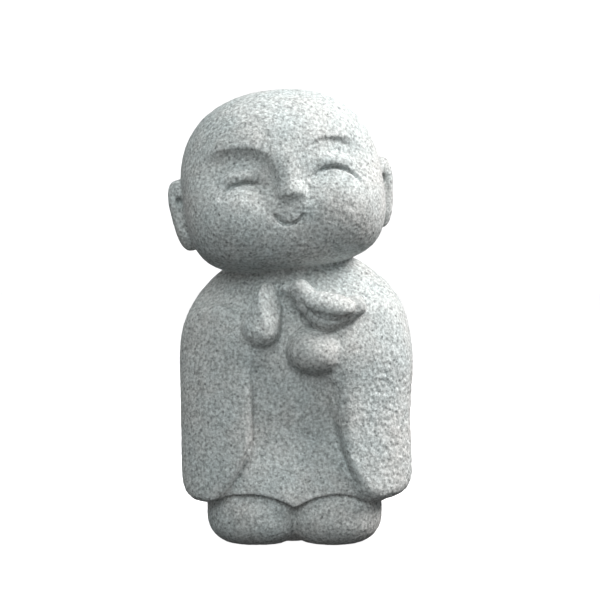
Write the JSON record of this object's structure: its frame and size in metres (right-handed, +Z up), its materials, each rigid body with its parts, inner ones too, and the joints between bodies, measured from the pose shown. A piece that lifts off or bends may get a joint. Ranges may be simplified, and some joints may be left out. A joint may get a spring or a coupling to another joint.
{
  "type": "stone jizo statue",
  "caption": "Small standing jizo figure in light grey granite with a round smiling head, one hand raised in prayer and a bird on the other; rests on its flat underside",
  "frame": {"origin": "middle of the box round the statue, on the plane that it stands on", "axes": "+Z up, the statue faces -Y, +X on the right of someone looking at it"},
  "size_m": [0.1638, 0.1256, 0.3004],
  "materials": {
    "granite": "bush-hammered, finely pitted"
  },
  "bodies": {
    "root": {"jizo_statue": "granite"}
  },
  "joints": []
}
